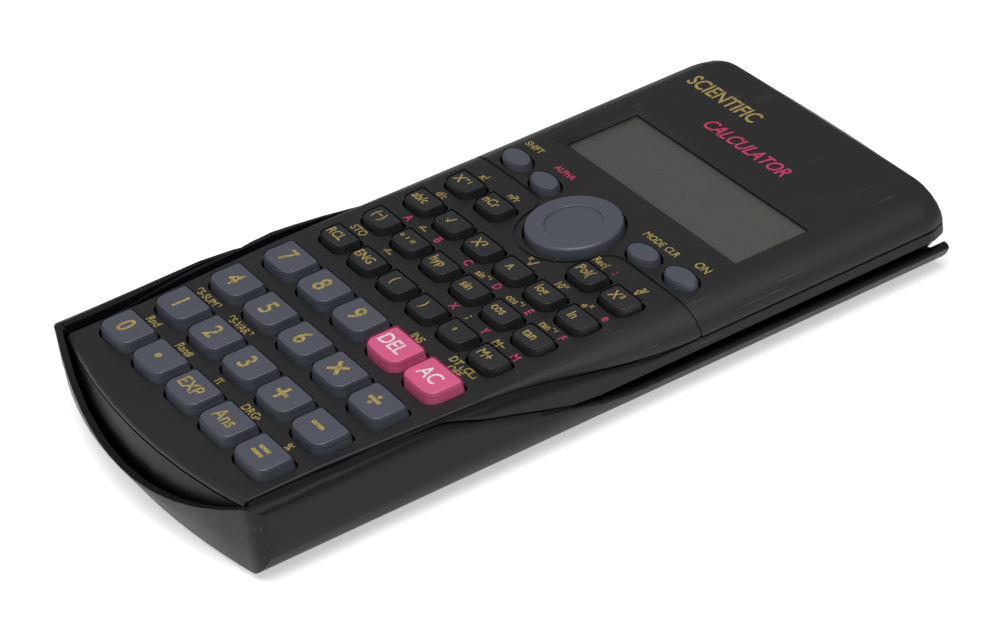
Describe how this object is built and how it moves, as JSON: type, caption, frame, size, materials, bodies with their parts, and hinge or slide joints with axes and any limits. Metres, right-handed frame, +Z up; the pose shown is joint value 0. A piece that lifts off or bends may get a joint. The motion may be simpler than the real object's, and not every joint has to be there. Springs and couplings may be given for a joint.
{
  "type": "scientific calculator",
  "caption": "Pocket scientific calculator with rubber-dome keys, a tilting cursor pad, a reflective display and a hard slide-on cover stored under it.",
  "frame": {"origin": "bottom centre of the bounding box, on the underside of the slide cover's flat plate", "axes": "+Y from the rounded key end towards the display end (longest side), +Z up out of the key face (shortest side), +X to the user's right"},
  "size_m": [0.0784, 0.1541, 0.0166],
  "materials": {
    "case_abs": "fine spark-eroded texture, moulded black ABS",
    "cover_abs": "satin moulded black ABS",
    "key_slate_abs": "satin moulded slate-grey ABS with printed legends",
    "key_black_abs": "satin moulded near-black ABS with printed legends",
    "key_pink_abs": "satin moulded pink ABS with printed legends",
    "window_acrylic": "clear window with an anti-glare coat",
    "lcd_glass": "grey-green reflective liquid crystal panel",
    "silicone": "moulded grey silicone",
    "fibreglass_board": "green solder mask",
    "nickel_plated_steel": "nickel plated"
  },
  "bodies": {
    "calculator": {"back_case": "cover_abs", "front_case": "case_abs", "display_window": "window_acrylic", "lcd_panel": "lcd_glass", "lcd_connector": "silicone", "circuit_board": "fibreglass_board", "key_mat": "silicone", "button_cell": "nickel_plated_steel", "cell_contact": "nickel_plated_steel", "battery_cover": "cover_abs", "battery_screw": "nickel_plated_steel"},
    "slide_cover": {"slide_cover": "cover_abs"},
    "cursor_pivot": {"cursor_pivot": "key_slate_abs"},
    "cursor_pad": {"cursor_pad": "key_slate_abs"},
    "key_0": {"key_0": "key_slate_abs"},
    "key_point": {"key_point": "key_slate_abs"},
    "key_exp": {"key_exp": "key_slate_abs"},
    "key_ans": {"key_ans": "key_slate_abs"},
    "key_equals": {"key_equals": "key_slate_abs"},
    "key_1": {"key_1": "key_slate_abs"},
    "key_2": {"key_2": "key_slate_abs"},
    "key_3": {"key_3": "key_slate_abs"},
    "key_plus": {"key_plus": "key_slate_abs"},
    "key_minus": {"key_minus": "key_slate_abs"},
    "key_4": {"key_4": "key_slate_abs"},
    "key_5": {"key_5": "key_slate_abs"},
    "key_6": {"key_6": "key_slate_abs"},
    "key_times": {"key_times": "key_slate_abs"},
    "key_divide": {"key_divide": "key_slate_abs"},
    "key_7": {"key_7": "key_slate_abs"},
    "key_8": {"key_8": "key_slate_abs"},
    "key_9": {"key_9": "key_slate_abs"},
    "key_del": {"key_del": "key_pink_abs"},
    "key_ac": {"key_ac": "key_pink_abs"},
    "key_rcl": {"key_rcl": "key_black_abs"},
    "key_eng": {"key_eng": "key_black_abs"},
    "key_open_bracket": {"key_open_bracket": "key_black_abs"},
    "key_close_bracket": {"key_close_bracket": "key_black_abs"},
    "key_comma": {"key_comma": "key_black_abs"},
    "key_m_plus": {"key_m_plus": "key_black_abs"},
    "key_negative": {"key_negative": "key_black_abs"},
    "key_degrees": {"key_degrees": "key_black_abs"},
    "key_hyp": {"key_hyp": "key_black_abs"},
    "key_sin": {"key_sin": "key_black_abs"},
    "key_cos": {"key_cos": "key_black_abs"},
    "key_tan": {"key_tan": "key_black_abs"},
    "key_fraction": {"key_fraction": "key_black_abs"},
    "key_square_root": {"key_square_root": "key_black_abs"},
    "key_square": {"key_square": "key_black_abs"},
    "key_power": {"key_power": "key_black_abs"},
    "key_log": {"key_log": "key_black_abs"},
    "key_ln": {"key_ln": "key_black_abs"},
    "key_inverse": {"key_inverse": "key_black_abs"},
    "key_combinations": {"key_combinations": "key_black_abs"},
    "key_polar": {"key_polar": "key_black_abs"},
    "key_cube": {"key_cube": "key_black_abs"},
    "key_shift": {"key_shift": "key_slate_abs"},
    "key_alpha": {"key_alpha": "key_slate_abs"},
    "key_mode": {"key_mode": "key_slate_abs"},
    "key_on": {"key_on": "key_slate_abs"}
  },
  "joints": [
    {"name": "cover_slide", "type": "slide", "parent": "calculator", "child": "slide_cover", "axis": [0, -1, 0], "range_m": [0, 0.165]},
    {"name": "cursor_pitch", "type": "hinge", "parent": "calculator", "child": "cursor_pivot", "pos_m": [0, 0.01925, 0.0125], "axis": [1, 0, 0], "range_deg": [-3, 3], "stiffness_Nm_per_rad": 0.1},
    {"name": "cursor_roll", "type": "hinge", "parent": "cursor_pivot", "child": "cursor_pad", "pos_m": [0, 0.01925, 0.0125], "axis": [0, 1, 0], "range_deg": [-3, 3], "stiffness_Nm_per_rad": 0.1},
    {"name": "key_0_press", "type": "slide", "parent": "calculator", "child": "key_0", "axis": [0, 0, -1], "range_m": [0, 0.001], "stiffness_N_per_m": 400, "springref_m": -0.0008},
    {"name": "key_point_press", "type": "slide", "parent": "calculator", "child": "key_point", "axis": [0, 0, -1], "range_m": [0, 0.001], "stiffness_N_per_m": 400, "springref_m": -0.0008},
    {"name": "key_exp_press", "type": "slide", "parent": "calculator", "child": "key_exp", "axis": [0, 0, -1], "range_m": [0, 0.001], "stiffness_N_per_m": 400, "springref_m": -0.0008},
    {"name": "key_ans_press", "type": "slide", "parent": "calculator", "child": "key_ans", "axis": [0, 0, -1], "range_m": [0, 0.001], "stiffness_N_per_m": 400, "springref_m": -0.0008},
    {"name": "key_equals_press", "type": "slide", "parent": "calculator", "child": "key_equals", "axis": [0, 0, -1], "range_m": [0, 0.001], "stiffness_N_per_m": 400, "springref_m": -0.0008},
    {"name": "key_1_press", "type": "slide", "parent": "calculator", "child": "key_1", "axis": [0, 0, -1], "range_m": [0, 0.001], "stiffness_N_per_m": 400, "springref_m": -0.0008},
    {"name": "key_2_press", "type": "slide", "parent": "calculator", "child": "key_2", "axis": [0, 0, -1], "range_m": [0, 0.001], "stiffness_N_per_m": 400, "springref_m": -0.0008},
    {"name": "key_3_press", "type": "slide", "parent": "calculator", "child": "key_3", "axis": [0, 0, -1], "range_m": [0, 0.001], "stiffness_N_per_m": 400, "springref_m": -0.0008},
    {"name": "key_plus_press", "type": "slide", "parent": "calculator", "child": "key_plus", "axis": [0, 0, -1], "range_m": [0, 0.001], "stiffness_N_per_m": 400, "springref_m": -0.0008},
    {"name": "key_minus_press", "type": "slide", "parent": "calculator", "child": "key_minus", "axis": [0, 0, -1], "range_m": [0, 0.001], "stiffness_N_per_m": 400, "springref_m": -0.0008},
    {"name": "key_4_press", "type": "slide", "parent": "calculator", "child": "key_4", "axis": [0, 0, -1], "range_m": [0, 0.001], "stiffness_N_per_m": 400, "springref_m": -0.0008},
    {"name": "key_5_press", "type": "slide", "parent": "calculator", "child": "key_5", "axis": [0, 0, -1], "range_m": [0, 0.001], "stiffness_N_per_m": 400, "springref_m": -0.0008},
    {"name": "key_6_press", "type": "slide", "parent": "calculator", "child": "key_6", "axis": [0, 0, -1], "range_m": [0, 0.001], "stiffness_N_per_m": 400, "springref_m": -0.0008},
    {"name": "key_times_press", "type": "slide", "parent": "calculator", "child": "key_times", "axis": [0, 0, -1], "range_m": [0, 0.001], "stiffness_N_per_m": 400, "springref_m": -0.0008},
    {"name": "key_divide_press", "type": "slide", "parent": "calculator", "child": "key_divide", "axis": [0, 0, -1], "range_m": [0, 0.001], "stiffness_N_per_m": 400, "springref_m": -0.0008},
    {"name": "key_7_press", "type": "slide", "parent": "calculator", "child": "key_7", "axis": [0, 0, -1], "range_m": [0, 0.001], "stiffness_N_per_m": 400, "springref_m": -0.0008},
    {"name": "key_8_press", "type": "slide", "parent": "calculator", "child": "key_8", "axis": [0, 0, -1], "range_m": [0, 0.001], "stiffness_N_per_m": 400, "springref_m": -0.0008},
    {"name": "key_9_press", "type": "slide", "parent": "calculator", "child": "key_9", "axis": [0, 0, -1], "range_m": [0, 0.001], "stiffness_N_per_m": 400, "springref_m": -0.0008},
    {"name": "key_del_press", "type": "slide", "parent": "calculator", "child": "key_del", "axis": [0, 0, -1], "range_m": [0, 0.001], "stiffness_N_per_m": 400, "springref_m": -0.0008},
    {"name": "key_ac_press", "type": "slide", "parent": "calculator", "child": "key_ac", "axis": [0, 0, -1], "range_m": [0, 0.001], "stiffness_N_per_m": 400, "springref_m": -0.0008},
    {"name": "key_rcl_press", "type": "slide", "parent": "calculator", "child": "key_rcl", "axis": [0, 0, -1], "range_m": [0, 0.001], "stiffness_N_per_m": 400, "springref_m": -0.0008},
    {"name": "key_eng_press", "type": "slide", "parent": "calculator", "child": "key_eng", "axis": [0, 0, -1], "range_m": [0, 0.001], "stiffness_N_per_m": 400, "springref_m": -0.0008},
    {"name": "key_open_bracket_press", "type": "slide", "parent": "calculator", "child": "key_open_bracket", "axis": [0, 0, -1], "range_m": [0, 0.001], "stiffness_N_per_m": 400, "springref_m": -0.0008},
    {"name": "key_close_bracket_press", "type": "slide", "parent": "calculator", "child": "key_close_bracket", "axis": [0, 0, -1], "range_m": [0, 0.001], "stiffness_N_per_m": 400, "springref_m": -0.0008},
    {"name": "key_comma_press", "type": "slide", "parent": "calculator", "child": "key_comma", "axis": [0, 0, -1], "range_m": [0, 0.001], "stiffness_N_per_m": 400, "springref_m": -0.0008},
    {"name": "key_m_plus_press", "type": "slide", "parent": "calculator", "child": "key_m_plus", "axis": [0, 0, -1], "range_m": [0, 0.001], "stiffness_N_per_m": 400, "springref_m": -0.0008},
    {"name": "key_negative_press", "type": "slide", "parent": "calculator", "child": "key_negative", "axis": [0, 0, -1], "range_m": [0, 0.001], "stiffness_N_per_m": 400, "springref_m": -0.0008},
    {"name": "key_degrees_press", "type": "slide", "parent": "calculator", "child": "key_degrees", "axis": [0, 0, -1], "range_m": [0, 0.001], "stiffness_N_per_m": 400, "springref_m": -0.0008},
    {"name": "key_hyp_press", "type": "slide", "parent": "calculator", "child": "key_hyp", "axis": [0, 0, -1], "range_m": [0, 0.001], "stiffness_N_per_m": 400, "springref_m": -0.0008},
    {"name": "key_sin_press", "type": "slide", "parent": "calculator", "child": "key_sin", "axis": [0, 0, -1], "range_m": [0, 0.001], "stiffness_N_per_m": 400, "springref_m": -0.0008},
    {"name": "key_cos_press", "type": "slide", "parent": "calculator", "child": "key_cos", "axis": [0, 0, -1], "range_m": [0, 0.001], "stiffness_N_per_m": 400, "springref_m": -0.0008},
    {"name": "key_tan_press", "type": "slide", "parent": "calculator", "child": "key_tan", "axis": [0, 0, -1], "range_m": [0, 0.001], "stiffness_N_per_m": 400, "springref_m": -0.0008},
    {"name": "key_fraction_press", "type": "slide", "parent": "calculator", "child": "key_fraction", "axis": [0, 0, -1], "range_m": [0, 0.001], "stiffness_N_per_m": 400, "springref_m": -0.0008},
    {"name": "key_square_root_press", "type": "slide", "parent": "calculator", "child": "key_square_root", "axis": [0, 0, -1], "range_m": [0, 0.001], "stiffness_N_per_m": 400, "springref_m": -0.0008},
    {"name": "key_square_press", "type": "slide", "parent": "calculator", "child": "key_square", "axis": [0, 0, -1], "range_m": [0, 0.001], "stiffness_N_per_m": 400, "springref_m": -0.0008},
    {"name": "key_power_press", "type": "slide", "parent": "calculator", "child": "key_power", "axis": [0, 0, -1], "range_m": [0, 0.001], "stiffness_N_per_m": 400, "springref_m": -0.0008},
    {"name": "key_log_press", "type": "slide", "parent": "calculator", "child": "key_log", "axis": [0, 0, -1], "range_m": [0, 0.001], "stiffness_N_per_m": 400, "springref_m": -0.0008},
    {"name": "key_ln_press", "type": "slide", "parent": "calculator", "child": "key_ln", "axis": [0, 0, -1], "range_m": [0, 0.001], "stiffness_N_per_m": 400, "springref_m": -0.0008},
    {"name": "key_inverse_press", "type": "slide", "parent": "calculator", "child": "key_inverse", "axis": [0, 0, -1], "range_m": [0, 0.001], "stiffness_N_per_m": 400, "springref_m": -0.0008},
    {"name": "key_combinations_press", "type": "slide", "parent": "calculator", "child": "key_combinations", "axis": [0, 0, -1], "range_m": [0, 0.001], "stiffness_N_per_m": 400, "springref_m": -0.0008},
    {"name": "key_polar_press", "type": "slide", "parent": "calculator", "child": "key_polar", "axis": [0, 0, -1], "range_m": [0, 0.001], "stiffness_N_per_m": 400, "springref_m": -0.0008},
    {"name": "key_cube_press", "type": "slide", "parent": "calculator", "child": "key_cube", "axis": [0, 0, -1], "range_m": [0, 0.001], "stiffness_N_per_m": 400, "springref_m": -0.0008},
    {"name": "key_shift_press", "type": "slide", "parent": "calculator", "child": "key_shift", "axis": [0, 0, -1], "range_m": [0, 0.001], "stiffness_N_per_m": 400, "springref_m": -0.0008},
    {"name": "key_alpha_press", "type": "slide", "parent": "calculator", "child": "key_alpha", "axis": [0, 0, -1], "range_m": [0, 0.001], "stiffness_N_per_m": 400, "springref_m": -0.0008},
    {"name": "key_mode_press", "type": "slide", "parent": "calculator", "child": "key_mode", "axis": [0, 0, -1], "range_m": [0, 0.001], "stiffness_N_per_m": 400, "springref_m": -0.0008},
    {"name": "key_on_press", "type": "slide", "parent": "calculator", "child": "key_on", "axis": [0, 0, -1], "range_m": [0, 0.001], "stiffness_N_per_m": 400, "springref_m": -0.0008}
  ]
}
